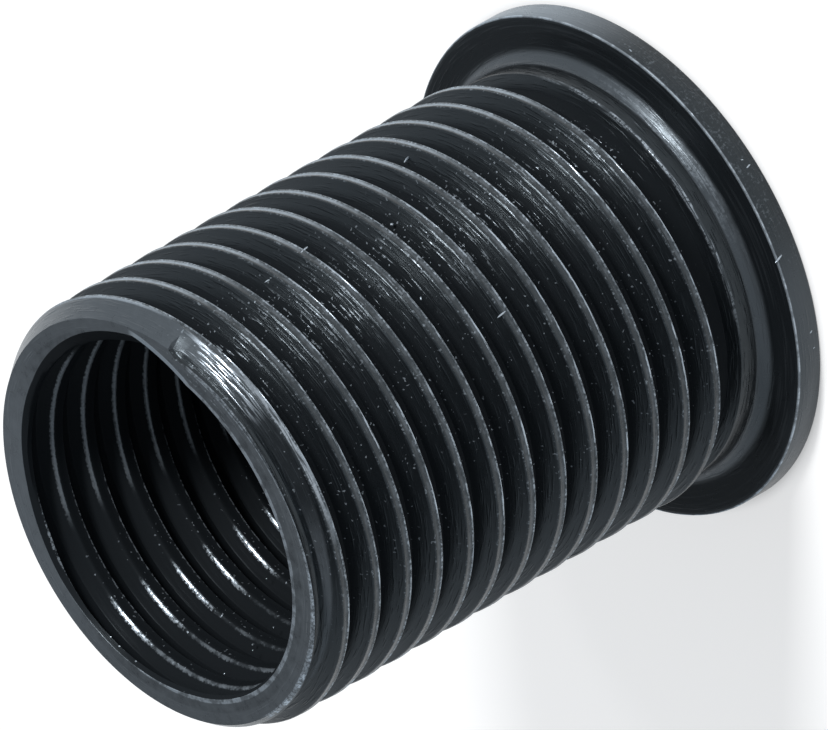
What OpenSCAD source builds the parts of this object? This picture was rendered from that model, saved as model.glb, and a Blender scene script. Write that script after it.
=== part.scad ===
// Flanged steel thread insert: a thin sleeve threaded outside and inside with the same fine pitch.
// It is turned and threaded from one bar, so it is one solid. It stands here on its flange, lead-in end up.
// The axis is Z. Angles of the threads are counted from +X, and depths along the barrel from its upper end.

/* [Body] */
// Overall length
total_h = 19.1; // [14:0.1:28]
// Flange diameter
flange_d = 16; // [15:0.1:20]
// Flange thickness
flange_t = 0.9; // [0.6:0.1:2]
// Break on the rim edges of the flange
rim_break = 0.06; // [0:0.01:0.15]

/* [Outer thread] */
// Outer diameter over the thread crests
crest_d = 13.8; // [13.2:0.1:14.4]
// Pitch of both threads
pitch = 1.25; // [1.25:0.25:1.5]
// Depth of the outer thread
outer_depth = 0.65; // [0.4:0.05:0.7]
// Width of the flat on each outer crest
outer_land = 0.28; // [0.16:0.02:0.4]
// Depth below the crests at which the lead-in chamfer meets the end face
nose_drop = 0.45; // [0.35:0.05:0.5]
// Length of the lead-in chamfer along the axis
nose_chamfer = 0.62; // [0.3:0.02:1]

/* [Neck under the flange] */
// Depth of the run-out relief below the roots of the outer thread
relief_depth = 0.05; // [0.05:0.01:0.12]
// Width of the relief at its floor
relief_l = 0.55; // [0.2:0.05:0.8]
// Depth of the plain neck below the thread crests
neck_drop = 0.3; // [0.2:0.05:0.5]
// Length of the neck with its fillet
neck_l = 0.95; // [0.7:0.05:1.6]
// Length of the sloped fillet that carries the neck to the flange
fillet_l = 0.34; // [0.2:0.02:0.5]
// How far the fillet stands out past the thread crests where it meets the flange
fillet_rise = 0.03; // [0:0.01:0.2]

/* [Inner thread] */
// Wall of the sleeve from the outer thread's crests to the inner thread's crests
wall = 1.35; // [1.3:0.05:1.5]
// Depth of the inner thread
inner_depth = 0.45; // [0.3:0.05:0.5]
// Width of the flat on each inner crest
inner_land = 0.4; // [0.3:0.02:0.5]
// Chamfer of the bore at the lead-in end
mouth_chamfer = 0.18; // [0.05:0.01:0.3]
// Chamfer of the bore at the flange end
seat_chamfer = 0.5; // [0.2:0.05:0.7]

/* [Thread start] */
// Depth of the first outer crest at angle zero
outer_start = 0.5; // [0.2:0.02:1]
// Depth of the first inner crest at angle zero
inner_start = 0.27; // [0.1:0.02:1]

/* [Hidden] */
$fn = 96;
// Thread form: the flanks lean 30 degrees from the radius.
flank = tan(30);
// Number of facets in one turn of a thread groove
turn_steps = 32;
// A cutter reaches this far past the surface that it opens
past = 0.06;
// The cutter of the outer groove runs on this far into the relief
run_on = 0.3;
// Corners of a groove's section
corners = 4;
// Everything round the barrel follows the radius of the outer thread's crests.
crest_r = crest_d / 2;
outer_root_r = crest_r - outer_depth;
nose_r = crest_r - nose_drop;
neck_r = crest_r - neck_drop;
bore_r = crest_r - wall;
inner_root_r = bore_r + inner_depth;
flange_r = flange_d / 2;
fillet_r = min(crest_r + fillet_rise, flange_r - rim_break);
barrel_l = total_h - flange_t;
// Depths below the upper end where the thread stops and where the plain neck begins
relief_r = outer_root_r - relief_depth;
neck_top = barrel_l - neck_l;
relief_wall = (neck_r - relief_r) * flank;
relief_floor = neck_top - relief_wall;
relief_top = relief_floor - relief_l;
thread_end = relief_top - (crest_r - relief_r) * flank;

// A point of the section in polar form: r from the axis, angle a, depth s below the upper end
function spot(r, a, s) = [r * cos(a), r * sin(a), total_h - s];

// Depth of a groove's middle at angle a, for a thread whose crest starts at depth s0
function groove_s(a, s0) = s0 - pitch / 2 - pitch * a / 360;

// The four corners of a groove's section, with its mouth at r_open and its floor at r_floor.
// They run the other way round where the groove opens inward, so that the cutter's faces look outward.
function groove_ring(a, s, r_open, r_floor, w_open, w_floor) = let (way = sign(r_open - r_floor)) [
    spot(r_open, a, s - way * w_open / 2),
    spot(r_open, a, s + way * w_open / 2),
    spot(r_floor, a, s + way * w_floor / 2),
    spot(r_floor, a, s - way * w_floor / 2)
];

// A cutter that winds as a right-hand screw from angle a0 down to angle a1.
module screw_groove(a0, a1, s0, r_open, r_floor, w_open, w_floor) {
    n = ceil((a0 - a1) / 360 * turn_steps);
    rings = [for (i = [0 : n]) let (a = a0 + (a1 - a0) * i / n)
        groove_ring(a, groove_s(a, s0), r_open, r_floor, w_open, w_floor)];
    points = [for (ring = rings) each ring];
    sides = [for (i = [0 : n - 1], j = [0 : corners - 1])
        let (k = (j + 1) % corners, b = corners * i, t = b + corners)
        each [[b + j, b + k, t + k], [b + j, t + k, t + j]]];
    e = corners * n;
    start_cap = [[0, 3, 2], [0, 2, 1]];
    end_cap = [[e, e + 1, e + 2], [e, e + 2, e + 3]];
    polyhedron(points = points, faces = concat(start_cap, sides, end_cap), convexity = 20);
}

// Half section of the sleeve without its threads, as radius and height
module sleeve_section() {
    polygon([
        [bore_r + seat_chamfer, 0],
        [flange_r - rim_break, 0],
        [flange_r, rim_break],
        [flange_r, flange_t - rim_break],
        [flange_r - rim_break, flange_t],
        [fillet_r, flange_t],
        [neck_r, flange_t + fillet_l],
        [neck_r, total_h - neck_top],
        [relief_r, total_h - relief_floor],
        [relief_r, total_h - relief_top],
        [crest_r, total_h - thread_end],
        [crest_r, total_h - nose_chamfer],
        [nose_r, total_h],
        [bore_r + mouth_chamfer, total_h],
        [bore_r, total_h - mouth_chamfer],
        [bore_r, seat_chamfer]
    ]);
}

module outer_groove() {
    r_open = crest_r + past;
    w_floor = pitch - outer_land - 2 * outer_depth * flank;
    w_open = pitch - outer_land + 2 * past * flank;
    screw_groove(-48, -360 * (relief_top + run_on + pitch / 2 - outer_start) / pitch, outer_start,
        r_open, outer_root_r, w_open, w_floor);
}

module inner_groove() {
    r_open = bore_r - past;
    w_floor = pitch - inner_land - 2 * inner_depth * flank;
    w_open = pitch - inner_land + 2 * past * flank;
    screw_groove(30, -360 * (total_h + pitch) / pitch, inner_start,
        r_open, inner_root_r, w_open, w_floor);
}

module threaded_insert() {
    color([0.2, 0.21, 0.23])
    difference() {
        rotate_extrude() sleeve_section();
        outer_groove();
        inner_groove();
    }
}

threaded_insert();
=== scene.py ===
import math

import bmesh
import bpy
from mathutils import Matrix, Vector


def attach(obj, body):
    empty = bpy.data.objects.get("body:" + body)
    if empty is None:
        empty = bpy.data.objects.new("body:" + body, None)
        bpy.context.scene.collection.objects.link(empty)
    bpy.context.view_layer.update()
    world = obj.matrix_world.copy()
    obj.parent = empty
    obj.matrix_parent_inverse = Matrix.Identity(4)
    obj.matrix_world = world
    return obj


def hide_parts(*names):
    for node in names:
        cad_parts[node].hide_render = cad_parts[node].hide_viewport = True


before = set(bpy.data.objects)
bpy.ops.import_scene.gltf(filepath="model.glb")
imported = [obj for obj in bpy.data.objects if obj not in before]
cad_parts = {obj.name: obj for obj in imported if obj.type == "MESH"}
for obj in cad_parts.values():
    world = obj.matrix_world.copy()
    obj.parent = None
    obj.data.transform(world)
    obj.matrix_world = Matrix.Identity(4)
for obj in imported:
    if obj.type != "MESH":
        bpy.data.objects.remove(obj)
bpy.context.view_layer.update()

# The outer thread. The insert is one piece of steel turned from bar, and this thread is rolled into its
# barrel, so each crest has a small lip along both edges and a shallow hollow between them. It starts bluntly
# below the end face and runs out above the neck. Sizes are in mm, and depths count from the end face.
height = 19.1
pitch = 1.25
around = 180
seam_weld = 0.003
tolerance = 0.001
bar_r = 6.92
crest_r = 6.9
root_r = 6.25
outer_start = 0.5
outer_turns = 14
blunt_start = 48
blunt_over = 2.5
nose_r = 6.45
nose_length = 0.62
relief_r = 6.2
relief_top = 16.5
relief_end = 17.05
run_out = 0.404
flank_top = (0.125, 6.872)
flank_foot = (0.47, 6.302)
# Points of the section: distance past the middle of the crest, towards the flange, and radius
outer_section = [
    (-0.625, root_r), (-0.565, root_r), (-0.52, 6.264), (-0.488, 6.302),
    (-0.18, 6.835), (-0.162, 6.862), (-0.142, 6.881), (-0.12, 6.889), (-0.09, 6.888),
    (-0.04, 6.874), (0.02, 6.874), (0.065, 6.888), (0.09, crest_r), (0.108, 6.896), flank_top,
    flank_foot, (0.51, 6.264), (0.56, root_r), (0.625, root_r)
]


def wound(section, start, turns):
    """A thread's skin: its section swept once round with the pitch's fall, then copied from turn to turn."""
    bm = bmesh.new()
    points = [bm.verts.new((r, 0, height - start - past)) for past, r in section]
    lines = [bm.edges.new(pair) for pair in zip(points, points[1:])]
    bmesh.ops.spin(bm, geom=points + lines, cent=(0, 0, 0), axis=(0, 0, 1), dvec=(0, 0, -pitch / around),
                   angle=-math.tau, steps=around)
    one_turn = bm.verts[:] + bm.edges[:] + bm.faces[:]
    for k in range(-1, turns):
        if k:
            copy = bmesh.ops.duplicate(bm, geom=one_turn)["geom"]
            bmesh.ops.translate(bm, verts=[v for v in copy if isinstance(v, bmesh.types.BMVert)],
                                vec=(0, 0, -pitch * k))
    bmesh.ops.remove_doubles(bm, verts=bm.verts[:], dist=seam_weld)
    return bm


def round_of(v):
    """A point's radius, its angle in degrees clockwise from above and its depth below the end face."""
    return math.hypot(v.co.x, v.co.y), math.degrees(math.atan2(-v.co.y, v.co.x)) % 360, height - v.co.z


def to_radius(v, r):
    """Moves a point straight out or in to radius r."""
    share = r / math.hypot(v.co.x, v.co.y)
    v.co.x *= share
    v.co.y *= share


def slice_at(bm, z, snap=1e-4, **cleared):
    """Cuts all faces at height z, and clears the side of the cut that is named, if one is."""
    bmesh.ops.bisect_plane(bm, geom=bm.verts[:] + bm.edges[:] + bm.faces[:], dist=snap,
                           plane_co=(0, 0, z), plane_no=(0, 0, 1), **cleared)


def skim(bm, r0, z0, lean, keep_inside):
    """Turns the skin down, or opens it out, to the cone of radius r0 at height z0 that widens by lean
    per mm of height. The cone is made a plane for the cut, and what lies past it is then pressed onto it."""
    for v in bm.verts:
        v.co.z = math.hypot(v.co.x, v.co.y) - r0 - lean * (v.co.z - z0)
    slice_at(bm, 0)
    for v in bm.verts:
        past_cone = v.co.z
        v.co.z = z0 + (math.hypot(v.co.x, v.co.y) - r0 - past_cone) / lean
        if (past_cone > 0) == keep_inside:
            to_radius(v, r0 + lean * (v.co.z - z0))


def part_off(bm, z, keep_below):
    """Cuts the skin off square at height z."""
    slice_at(bm, z, snap=1e-5, clear_outer=keep_below, clear_inner=not keep_below)
    bmesh.ops.remove_doubles(bm, verts=bm.verts[:], dist=tolerance)


outside = wound(outer_section, outer_start, outer_turns)
for v in outside.verts:
    r, angle, depth = round_of(v)
    past_start = depth - outer_start - angle * pitch / 360
    groove = math.floor(past_start / pitch + 1e-6) + 1
    cut = min(max((angle + 360 * groove - blunt_start) / blunt_over, 0), 1)
    if cut < 1:
        to_radius(v, bar_r - (bar_r - r) * cut)
skim(outside, nose_r, height, (nose_r - crest_r) / nose_length, True)
skim(outside, relief_r, height - relief_top, (crest_r - relief_r) / run_out, True)
part_off(outside, height, True)
part_off(outside, height - relief_top, False)

# The bore. An inner thread of the same pitch and hand is cut into the steel over the whole length, with broad
# flat crests. Its first groove breaks out through the end face in a short notch, past which a thin lip of the
# face stands over it. The flange end has a chamfer.
bore_r = 5.55
inner_root_r = 6.0
inner_start = 0.27
inner_turns = 16
seat_chamfer = 0.5
lip_t = 0.12
mouth_depth = 0.8
mouth_cuts = (0.06, lip_t, 0.25, 0.4, 0.55)
# Points of the mouth's edge: angle clockwise from above, and radius
mouth = [
    (0, 5.88), (20, 6.05), (36, 6.2), (46, 5.95), (58, 5.66), (75, 5.63),
    (210, 5.66), (240, 5.78), (270, 5.83), (300, 5.68), (340, 5.72), (360, 5.88)
]
inner_section = [
    (-0.625, inner_root_r), (-0.52, inner_root_r), (-0.475, 5.995), (-0.44, 5.965),
    (-0.262, 5.663), (-0.235, 5.62), (-0.208, 5.588), (-0.175, 5.566), (-0.135, 5.553), (-0.09, bore_r),
    (0.02, 5.557), (0.13, 5.557), (0.18, bore_r), (0.203, 5.565),
    (0.44, 5.965), (0.475, 5.995), (0.52, inner_root_r), (0.625, inner_root_r)
]


def mouth_r(angle):
    """Radius of the mouth's edge at an angle."""
    (before, r_before), (after, r_after) = next(pair for pair in zip(mouth, mouth[1:]) if angle <= pair[1][0])
    return r_before + (r_after - r_before) * (angle - before) / (after - before)


inside = wound(inner_section, inner_start, inner_turns)
for level in mouth_cuts:
    slice_at(inside, height - level)
for v in inside.verts:
    r, angle, depth = round_of(v)
    if depth < mouth_depth:
        under_lip = depth < lip_t + tolerance
        to_radius(v, max(mouth_r(angle) - depth, bore_r if under_lip else r))
skim(inside, bore_r + seat_chamfer, 0, -1, False)
part_off(inside, height, True)
part_off(inside, 0, False)

# The neck and the flange, turned from the same bar. A plain neck and a sloped fillet carry the barrel to a
# thin flange with lightly broken edges, which the insert stands on. The three skins are joined here.
neck_r = 6.6
flange_r = 8.0
flange_t = 0.9
# Radius and depth down the relief's wall, radius and height down the fillet, and set-backs of a broken edge
relief_wall = [(relief_r, relief_end), (6.40, 17.16), (6.575, 17.25), (neck_r, 17.3)]
fillet_curve = [(neck_r, 1.27), (6.62, 1.2), (6.72, 1.08), (6.85, 0.965), (6.93, 0.915), (7.05, flange_t)]
broken_edge = [(0.07, 0), (0.02, 0.02), (0, 0.07)]
seat_r = 7.5
face_rs = (7.0, 6.4)
outline = [(r, height - depth) for r, depth in relief_wall] + fillet_curve + [(seat_r, flange_t)]
outline += [(flange_r - back, flange_t - down) for back, down in broken_edge]
outline += [(flange_r - back, up) for back, up in reversed(broken_edge)]
outline += [(r, 0) for r in face_rs]
turned = bmesh.new()
points = [turned.verts.new((r, 0, z)) for r, z in outline]
lines = [turned.edges.new(pair) for pair in zip(points, points[1:])]
bmesh.ops.spin(turned, geom=points + lines, cent=(0, 0, 0), axis=(0, 0, 1), angle=-math.tau, steps=around,
               use_merge=True)

skin = bpy.data.meshes.new("threaded_insert_skin")
whole = bmesh.new()
for part in (outside, inside, turned):
    part.to_mesh(skin)
    whole.from_mesh(skin)
    part.free()
skin.clear_geometry()


def rim_at(z, r_low, r_high):
    """The open edges that lie at height z, between two radii."""
    found = []
    for e in whole.edges:
        if e.is_boundary and all(abs(v.co.z - z) < tolerance for v in e.verts):
            if r_low < math.hypot(e.verts[0].co.x, e.verts[0].co.y) < r_high:
                found.append(e)
    return found


for level in (height, 0):
    rims = rim_at(level, r_low=5, r_high=7)
    bmesh.ops.triangle_fill(whole, edges=rims, use_beauty=False, use_dissolve=False, normal=(0, 0, 1))
rims = rim_at(height - relief_top, r_low=6, r_high=7) + rim_at(height - relief_end, r_low=6, r_high=7)
bmesh.ops.bridge_loops(whole, edges=rims)
bmesh.ops.recalc_face_normals(whole, faces=whole.faces[:])

# The burrs: slivers and beads of bare steel that the cutting and rolling left standing on the crests, on the
# flange's rim and in the bore. They share the insert's mesh, which is finished here.
bare = whole.verts.layers.float.new("bare")
# Angle clockwise from above, depth, radius, length, width, and degrees turned from the axis's direction
burrs = [
    (46.4, 5.80, 6.86, 0.42, 0.07, 12), (32.6, 11.48, 6.62, 0.50, 0.07, 25),
    (87.5, 9.40, 6.87, 0.40, 0.06, 8), (50.6, 8.87, 6.5, 0.12, 0.10, 0),
    (49.6, 3.95, 6.9, 0.2, 0.05, 0), (74.4, 7.37, 6.88, 0.12, 0.06, 60),
    (106.5, 18.30, 7.99, 0.36, 0.07, 20), (86.4, 18.77, 7.98, 0.26, 0.06, 15),
    (84.6, 18.7, 7.98, 0.16, 0.05, -20), (125.0, 18.8, 7.98, 0.16, 0.06, 30),
    (129.0, 18.85, 7.98, 0.14, 0.05, 10), (50.2, 18.45, 7.98, 0.16, 0.06, 80),
    (257.0, 7.41, 5.57, 0.34, 0.06, 60), (218.8, 4.08, 5.57, 0.07, 0.07, 0),
    (216.6, 3.04, 5.57, 0.1, 0.07, 0), (214.0, 2.80, 5.57, 0.07, 0.06, 0),
    (237.2, 5.51, 5.57, 0.07, 0.06, 0), (210.5, 1.34, 5.57, 0.08, 0.07, 0)
]
for angle, depth, r, length, width, turn in burrs:
    there = Matrix.Rotation(math.radians(-angle), 4, "Z") @ Matrix.Translation((r, 0, height - depth))
    sliver = Matrix.Diagonal((width / 2, width / 2, length / 2, 1))
    place = there @ Matrix.Rotation(math.radians(turn), 4, "X") @ sliver
    for v in bmesh.ops.create_icosphere(whole, subdivisions=2, radius=1, matrix=place)["verts"]:
        v[bare] = 1

metres = 0.001
sharp_from = 32
bmesh.ops.scale(whole, vec=(metres, metres, metres), verts=whole.verts[:])
whole.to_mesh(skin)
whole.free()
skin.shade_smooth()
skin.set_sharp_from_angle(angle=math.radians(sharp_from))
insert = bpy.data.objects.new("insert", skin)
bpy.context.scene.collection.objects.link(insert)
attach(insert, "root")
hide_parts("threaded_insert")

# The finish: black oxide on the steel, near black and satin, with fine marks that run round the piece from
# turning and rolling. It is rubbed through to bare metal in places, most along the lips of the crests.
black_oxide = (0.0042, 0.0052, 0.0062, 1)
# Bare steel, also painted on as highlights, glints and sheen where the lamps and the floor light the piece
bare_steel_and_sheen = (0.46, 0.52, 0.58, 1)
# Painted shade: the matt near-black of the coat that darkens the grooves, the bore and the seat
shade_black = (0.0095, 0.0115, 0.0135, 1)
cool_tint = (0.78, 0.91, 1.0, 1)
mark_height = 0.00002


class Link:
    """A shader socket that can be used in Python arithmetic."""

    def __init__(self, tree, socket):
        self.tree = tree
        self.socket = socket

    def node(self, kind, settings=None, out=0, **values):
        """Adds a node and gives its output. A socket is named, with _ for a space, or i and its number."""
        made = self.tree.nodes.new(kind)
        for name, value in (settings or {}).items():
            setattr(made, name, value)
        for name, value in values.items():
            key = int(name[1:]) if name[1:].isdigit() else name.replace("_", " ")
            if isinstance(value, Link):
                self.tree.links.new(value.socket, made.inputs[key])
            else:
                made.inputs[key].default_value = value
        return Link(self.tree, made.outputs[out])

    def maths(self, kind, a, b=0.0):
        return self.node("ShaderNodeMath", {"operation": kind}, i0=a, i1=b)

    def __add__(self, other):
        return self.maths("ADD", self, other)

    def __radd__(self, other):
        return self.maths("ADD", other, self)

    def __sub__(self, other):
        return self.maths("SUBTRACT", self, other)

    def __rsub__(self, other):
        return self.maths("SUBTRACT", other, self)

    def __mul__(self, other):
        return self.maths("MULTIPLY", self, other)

    def __rmul__(self, other):
        return self.maths("MULTIPLY", other, self)

    def __pow__(self, other):
        return self.maths("POWER", self, other)

    def rise(self, low, high):
        """0 below low and 1 above high, or the other way round, with a smooth ramp between."""
        return self.node("ShaderNodeMapRange", {"interpolation_type": "SMOOTHSTEP"}, i0=self, i1=low, i2=high,
                         i3=0.0, i4=1.0)

    def speckle(self, scale, detail, rough=0.5):
        """Cloudy noise from 0 to 1, read at this link's vector."""
        return self.node("ShaderNodeTexNoise", Vector=self, Scale=scale, Detail=detail, Roughness=rough)

    def towards(self, direction):
        """How far this link's vector goes in a direction."""
        return self.node("ShaderNodeVectorMath", {"operation": "DOT_PRODUCT"}, out=1, i0=self, i1=direction)

    def parts(self):
        """The three components of this link's vector."""
        split = self.node("ShaderNodeSeparateXYZ", i0=self).socket.node
        return [Link(self.tree, output) for output in split.outputs]


steel = bpy.data.materials.new("black_oxide_steel")
steel.use_nodes = True
tree = steel.node_tree
shader = tree.nodes["Principled BSDF"]
here = Link(tree, tree.nodes.new("ShaderNodeTexCoord").outputs["Object"])
mm = here.node("ShaderNodeVectorMath", {"operation": "SCALE"}, i0=here, Scale=1 / metres)
x, y, z = mm.parts()
radius = (x * x + y * y) ** 0.5
turned_by = here.maths("FRACT", here.maths("ARCTAN2", y * -1.0, x) * (1 / math.tau) + 1.0)


def streaks(across, along, detail):
    """Noise drawn out round the axis: so many marks to the mm across them, and along them."""
    drawn = here.node("ShaderNodeCombineXYZ", i0=x * along, i1=y * along, i2=z * across)
    return here.node("ShaderNodeTexNoise", {"noise_dimensions": "4D"}, Vector=drawn, W=radius * across,
                     Scale=1.0, Detail=detail, Roughness=0.5)


def past_crest(start):
    """Distance in mm past the middle of the nearest crest of a thread, towards the flange."""
    turns = (height - start - z) * (1 / pitch) - turned_by
    return (here.maths("FRACT", turns + 20.5) - 0.5) * pitch


def between(value, low, high, soft):
    """1 from low to high and 0 outside, with soft edges."""
    return value.rise(low - soft, low + soft) * value.rise(high + soft, high - soft)


def stretch(start, end, soft):
    """1 on a stretch of the way round, given as shares of a turn clockwise from above, with soft ends."""
    return between(turned_by, start, end, soft)


def most(*links):
    """The largest of several masks."""
    top = links[0]
    for link in links[1:]:
        top = here.maths("MAXIMUM", top, link)
    return top


rings = streaks(11.0, 0.35, 2.0)
dashes = streaks(15.0, 1.3, 1.0)
grain = mm.speckle(11.0, 2.0, 0.6)
specks = mm.speckle(11.0, 0.0).rise(0.76, 0.79)
blotch = mm.speckle(2.4, 3.0, 0.65)
patchy = blotch.rise(0.42, 0.62)
ragged = (grain - 0.5) * 0.09

# Outer thread: worn lips of the crests and the hollow between them, and painted highlights and glints on the
# lit side
outer = past_crest(outer_start)
near_lip = between(outer + ragged, -0.15, -0.1, 0.02) * grain.rise(0.48, 0.7) * (0.02 + 0.35 * patchy)
# Painted highlights: bright beads on the far lips, only on the lit side
painted_lip_beads = dashes.rise(0.52, 0.64) * stretch(0.14, 0.4, 0.04)
far_lip = most(0.08 + grain.rise(0.38, 0.62) * (0.2 + 0.5 * patchy), painted_lip_beads)
far_lip = far_lip * between(outer + ragged * 0.5, 0.06, 0.115, 0.02)
# Painted sheen in the hollows, only on the lit side
painted_hollow_sheen = turned_by.rise(0.14, 0.09) * (0.2 + 0.5 * grain)
hollow = between(outer, -0.05, 0.06, 0.03) * (0.03 + 0.1 * patchy + painted_hollow_sheen)
# Painted highlight along the first crest, on the lit side
painted_first_crest = stretch(0.19, 0.31, 0.04) * z.rise(18.0, 18.1) * between(outer + ragged, -0.1, 0.1, 0.03)
painted_first_crest = painted_first_crest * dashes.rise(0.33, 0.55) * (0.2 + 0.8 * grain)
crest_tops = radius.rise(6.83, 6.87) * z.rise(2.4, 2.7)
crests = crest_tops * most(near_lip, far_lip, hollow, painted_first_crest)
threaded = z.rise(2.2, 2.6)
# Painted glints: streaks and specks on the flanks, in the bands where the lamps' highlights fall
painted_flank_glints = threaded * stretch(0.15, 0.2, 0.025) * dashes.rise(0.6, 0.68) * grain.rise(0.4, 0.55) * 0.5
painted_glint_specks = threaded * specks * most(stretch(0.13, 0.19, 0.03) * 0.5, stretch(0.2, 0.38, 0.05) * patchy * 0.35)

# Bore: painted highlights on the edges of the inner crests, placed by angle where the lamps catch them
in_bore = radius.rise(6.1, 6.04)
inner = past_crest(inner_start) + ragged
# Painted highlights: a sheen brighter towards the mouth, the key's highlight and a grey haze, each on its own
# stretch
painted_edge_sheen = stretch(0.5, 0.652, 0.01) * (0.09 + 0.3 * grain * patchy) * (0.35 + 0.65 * z.rise(14.0, 18.5))
painted_edge_highlight = stretch(0.667, 0.703, 0.018) * (0.15 + 0.85 * grain.rise(0.36, 0.6))
painted_edge_haze = stretch(0.79, 0.96, 0.02) * (0.06 + 0.28 * grain)
near_edge = between(inner, -0.255, -0.165, 0.025) * most(painted_edge_sheen, painted_edge_highlight, painted_edge_haze)
far_edge = between(inner, 0.16, 0.22, 0.015) * stretch(0.69, 0.81, 0.03) * grain.rise(0.38, 0.6)
# Painted glints where the key's highlight falls in the bore
painted_bore_glints = specks * stretch(0.62, 0.73, 0.05) * 0.8
bore_edge_highlights = radius.rise(5.7, 5.64) * most(near_edge, far_edge * 0.4, painted_bore_glints)

# Lead-in end: the face, its chamfer, the rim where the first groove meets them, and the notch's edge, with a
# painted highlight on the chamfer
end_face = z.rise(height - 0.02, height - 0.005)
face_wear = end_face * (0.06 + 0.1 * blotch + stretch(0.72, 0.93, 0.06) * 0.05)
face_inner = end_face * radius.rise(5.8, 5.75) * stretch(0.16, 0.66, 0.02) * (0.15 + grain * patchy)
nose_band = z.rise(18.42, 18.48) * radius.rise(6.38, 6.42)
nose_wear = nose_band * (1.0 - 0.85 * stretch(0.2, 0.31, 0.03)) * (0.07 + 0.06 * blotch)
# Painted highlight on the chamfer, where the key lamp's reflection falls
painted_nose_highlight = nose_band * stretch(0.15, 0.21, 0.02) * dashes.rise(0.45, 0.6)
flank_slope = (flank_top[1] - flank_foot[1]) / (flank_foot[0] - flank_top[0])
flank_r = flank_top[1] - (outer - flank_top[0]) * flank_slope
groove_rim = here.maths("MINIMUM", here.maths("MAXIMUM", flank_r, root_r), nose_r)
over_rim = between(radius - groove_rim, -0.05, 0.08, 0.015) * z.rise(18.96, 19.0) * stretch(0.158, 0.5, 0.01)
over_rim = over_rim * (0.3 + 0.7 * grain.rise(0.4, 0.6)) * (0.4 + 0.6 * patchy)
notch_closes = 8.8
notch_r = radius + (turned_by - 0.1) * notch_closes
notch_rim = stretch(0.1, 0.162, 0.008) * end_face * notch_r.rise(6.38, 6.32) * 0.9
lead_in = most(face_wear, face_inner, nose_wear, painted_nose_highlight, over_rim, notch_rim)

# Neck and flange: painted highlights on the neck's edge and the fillet, the seat, and the rim with painted
# sheen
painted_neck_highlight = between(z, 1.77, 1.87, 0.02) * between(radius, 6.5, 6.65, 0.05) * stretch(0.12, 0.3, 0.06)
painted_neck_highlight = painted_neck_highlight * (0.04 + dashes.rise(0.4, 0.58) * grain.rise(0.35, 0.55) * 0.8)
# The fillet: a faint even wear, and painted highlight streaks on the lit side
mottled = 0.2 * dashes.rise(0.42, 0.6) * grain.rise(0.3, 0.6) + 0.05 * patchy
fillet = between(z, 0.95, 1.25, 0.05) * radius.rise(7.0, 6.95) * radius.rise(6.5, 6.6)
fillet_wear_and_highlight = fillet * (0.075 + stretch(0.14, 0.26, 0.04) * mottled)
seat = between(z, 0.88, 0.905, 0.01) * radius.rise(7.9, 7.88)
# Painted sheen: the rim's sides are brighter where they would mirror the lit floor; its top edge and grit are
# wear
painted_rim_sheen = most(stretch(0.30, 0.47, 0.03) * 0.08, turned_by.rise(0.15, 0.06) * 0.34,
                 turned_by.rise(0.5, 0.6) * 0.34)
rim_edge = between(z, 0.84, 0.95, 0.02) * (0.35 + 0.5 * patchy)
rim_grit = stretch(0.1, 0.33, 0.04) * grain.rise(0.5, 0.7) * (0.02 + 0.12 * patchy)
rim_wear_and_sheen = radius.rise(7.93, 7.97) * most(painted_rim_sheen, rim_edge, rim_grit)
flange_wear_and_highlights = most(painted_neck_highlight, fillet_wear_and_highlight, seat * rings.rise(0.52, 0.66) * 0.035, rim_wear_and_sheen)

burr_metal = here.node("ShaderNodeAttribute", {"attribute_name": "bare"}, out=2) * 0.8
# Wear and all the painted highlights, glints and sheen above join here and show as bare steel
wear_and_painted_sheen = most(crests, painted_flank_glints, painted_glint_specks, bore_edge_highlights, lead_in, flange_wear_and_highlights, burr_metal)
marks = (rings * 0.35 + dashes.rise(0.5, 0.72) * 0.3) * (1.0 - 0.6 * in_bore)
colour = here.node("ShaderNodeMix", {"data_type": "RGBA"}, out=2, i0=wear_and_painted_sheen, i6=black_oxide, i7=bare_steel_and_sheen)
surface = {
    "Base Color": colour,
    "Normal": here.node("ShaderNodeBump", Height=marks, Distance=mark_height, Strength=1.0),
    "Roughness": 0.22 + 0.14 * blotch,
    "Metallic": wear_and_painted_sheen
}
for name, link in surface.items():
    tree.links.new(link.socket, shader.inputs[name])
shader.inputs["Specular Tint"].default_value = cool_tint
shader.inputs["IOR"].default_value = 1.5

# Painted shade: in the grooves, the bore and on the seat a matt near-black coat is mixed in for the shade
# there
grooves = radius.rise(6.65, 6.35) * between(z, 2.0, 18.0, 0.1)
painted_shade = most(in_bore * 0.92, grooves * 0.95, seat * 0.6) * (1.0 - wear_and_painted_sheen.rise(0.0, 0.15))
shade_coat = here.node("ShaderNodeBsdfPrincipled", Base_Color=shade_black, Roughness=0.6, Specular_IOR_Level=0.02)
cover = here.node("ShaderNodeMixShader", Fac=painted_shade, i1=Link(tree, shader.outputs[0]), i2=shade_coat)
tree.links.new(cover.socket, tree.nodes["Material Output"].inputs["Surface"])
skin.materials.append(steel)

# The floor: a pale sheet of paper under the flange, which the insert stands on. Clear of the flange it is
# lifted towards white, but only where the camera or a reflection sees it.
bpy.ops.mesh.primitive_plane_add(size=4)
floor = bpy.context.object
floor.name = "floor"
paper = bpy.data.materials.new("floor_paper")
paper.use_nodes = True
tree = paper.node_tree
sheet = tree.nodes["Principled BSDF"]
sheet.inputs["Base Color"].default_value = (0.5, 0.5, 0.5, 1)
sheet.inputs["Roughness"].default_value = 0.9
sheet.inputs["Emission Strength"].default_value = 1.0
rays = tree.nodes.new("ShaderNodeLightPath").outputs
to_camera, glossy, through = (Link(tree, rays["Is " + kind + " Ray"]) for kind in
                              ("Camera", "Glossy", "Transmission"))
seen = to_camera + glossy + through
spot = Link(tree, tree.nodes.new("ShaderNodeTexCoord").outputs["Object"])
from_axis = spot.node("ShaderNodeVectorMath", {"operation": "LENGTH"}, out=1, i0=spot)
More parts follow.
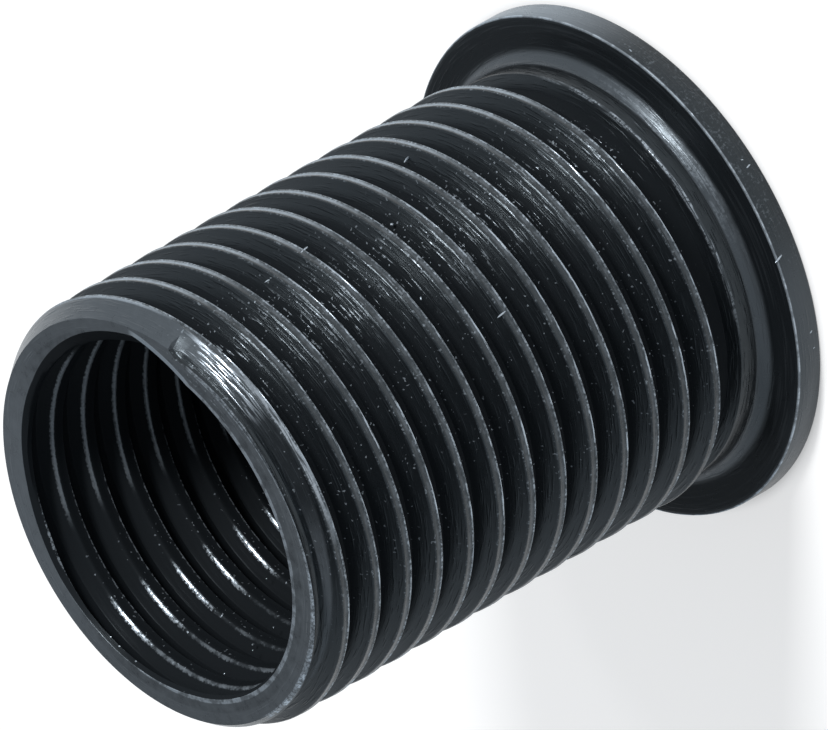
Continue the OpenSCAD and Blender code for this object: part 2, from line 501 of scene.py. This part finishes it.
lift = seen * from_axis.rise(0.0074, 0.0084) * 0.6
tree.links.new(lift.socket, sheet.inputs["Emission Color"])
floor.data.materials.append(paper)

# The light: an even sky, dimmer upward and with dark cards overhead and behind, and two soft lamps at the
# upper left of the picture that draw the highlights along the barrel.
sky_level = 0.66
sky_tint = (0.93, 1.0, 1.07)
card_overhead = (-0.2, -0.05, 0.978)
card_behind = (-0.05, 0.83, 0.555)
lamp_distance = 0.6
lamp_aim = Vector((0, 0, 0.01))
world = bpy.data.worlds.new("studio")
world.use_nodes = True
tree = world.node_tree
sky = Link(tree, tree.nodes.new("ShaderNodeTexCoord").outputs["Generated"])
upward = sky.parts()[2]
glow = sky_level - 0.34 * upward.rise(0.56, 0.9)
glow = glow * (1.0 - 0.94 * sky.towards(card_overhead).rise(0.86, 0.975))
glow = glow * (1.0 - 0.55 * sky.towards(card_behind).rise(0.84, 0.96))
light = sky.node("ShaderNodeVectorMath", {"operation": "SCALE"}, i0=sky_tint, Scale=glow)
tree.links.new(light.socket, tree.nodes["Background"].inputs["Color"])
bpy.context.scene.world = world


def soft_lamp(name, start, end, width, power):
    """A lamp that faces the insert and spans the sky from one direction to another."""
    start = Vector(start).normalized()
    end = Vector(end).normalized()
    towards = (start + end).normalized()
    along = (end - start).normalized()
    lamp = bpy.data.lights.new(name, "AREA")
    lamp.shape = "RECTANGLE"
    lamp.size = width
    lamp.size_y = (end - start).length * lamp_distance
    lamp.energy = power
    holder = bpy.data.objects.new(name, lamp)
    turn = Matrix((along.cross(towards), along, towards)).transposed().to_4x4()
    holder.matrix_world = Matrix.Translation(towards * lamp_distance + lamp_aim) @ turn
    bpy.context.scene.collection.objects.link(holder)


soft_lamp("key", (0.62, -0.57, 0.54), (0.50, -0.42, 0.76), width=0.1, power=3.0)
soft_lamp("glint", (0.47, -0.25, 0.85), (0.44, -0.19, 0.88), width=0.05, power=0.25)

# The camera looks down on the lead-in end at the photograph's angle and is rolled with it. Its place follows
# from the scale and from where the centre of the end face lies in the picture, in pixels.
lean = math.radians(55.6)
roll = math.radians(29.6)
picture_w = 828
picture_h = 730
face_px = (156.8, 522.1)
px_per_mm = 34.6
distance = 950
sensor = 36
towards_camera = Vector((0, -math.sin(lean), math.cos(lean)))
down_axis = Vector((0, -math.cos(lean), -math.sin(lean)))
right = down_axis * math.cos(roll) - Vector((math.sin(roll), 0, 0))
up = down_axis * math.sin(roll) + Vector((math.cos(roll), 0, 0))
across = (picture_w / 2 - face_px[0]) / px_per_mm
upwards = (face_px[1] - picture_h / 2) / px_per_mm
aim = Vector((0, 0, height)) + right * across + up * upwards
eye = (aim + towards_camera * distance) * metres
lens = bpy.data.cameras.new("camera")
lens.sensor_width = sensor
lens.lens = px_per_mm * distance * sensor / picture_w
lens.clip_start = 0.1
lens.clip_end = 20
camera = bpy.data.objects.new("camera", lens)
camera.matrix_world = Matrix.Translation(eye) @ Matrix((right, up, towards_camera)).transposed().to_4x4()
bpy.context.scene.collection.objects.link(camera)
bpy.context.scene.camera = camera
bpy.context.scene.view_settings.view_transform = "Standard"
